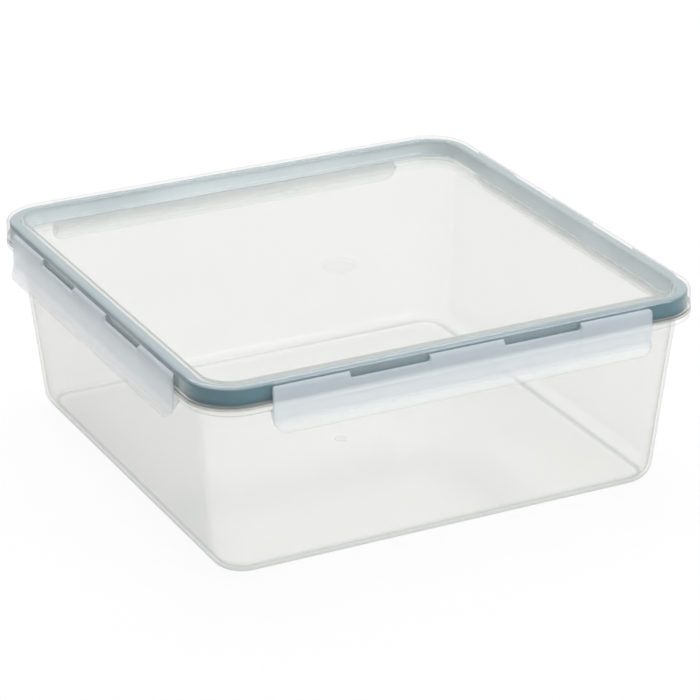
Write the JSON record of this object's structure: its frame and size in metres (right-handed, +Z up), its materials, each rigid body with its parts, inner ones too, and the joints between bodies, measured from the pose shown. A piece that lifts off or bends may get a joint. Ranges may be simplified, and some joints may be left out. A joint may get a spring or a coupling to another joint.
{
  "type": "food storage container",
  "caption": "Square clear food container with a sealed lid, held down by a long hinged latch on each side.",
  "frame": {"origin": "middle of the base, on the surface that the container stands on", "axes": "+Z up through the lid, the front latch faces -Y, the right latch faces +X"},
  "size_m": [0.2704, 0.2704, 0.102],
  "materials": {
    "tub": "clear injection-moulded polypropylene, glossy, slightly milky",
    "lid": "clear injection-moulded polypropylene, glossy",
    "seal": "slate-blue moulded silicone, matt",
    "latch": "translucent injection-moulded polypropylene, satin"
  },
  "bodies": {
    "tub": {"tub": "tub"},
    "lid": {"lid": "lid", "seal": "seal"},
    "latch_front": {"latch_front": "latch"},
    "latch_right": {"latch_right": "latch"},
    "latch_back": {"latch_back": "latch"},
    "latch_left": {"latch_left": "latch"}
  },
  "joints": [
    {"name": "lid_lift", "type": "slide", "parent": "tub", "child": "lid", "axis": [0, 0, 1], "range_m": [0, 0.12]},
    {"name": "latch_front_hinge", "type": "hinge", "parent": "lid", "child": "latch_front", "pos_m": [0, -0.13036, 0.0993], "axis": [-1, 0, 0], "range_deg": [0, 120]},
    {"name": "latch_right_hinge", "type": "hinge", "parent": "lid", "child": "latch_right", "pos_m": [0.13036, 0, 0.0993], "axis": [0, -1, 0], "range_deg": [0, 120]},
    {"name": "latch_back_hinge", "type": "hinge", "parent": "lid", "child": "latch_back", "pos_m": [0, 0.13036, 0.0993], "axis": [1, 0, 0], "range_deg": [0, 120]},
    {"name": "latch_left_hinge", "type": "hinge", "parent": "lid", "child": "latch_left", "pos_m": [-0.13036, 0, 0.0993], "axis": [0, 1, 0], "range_deg": [0, 120]}
  ]
}
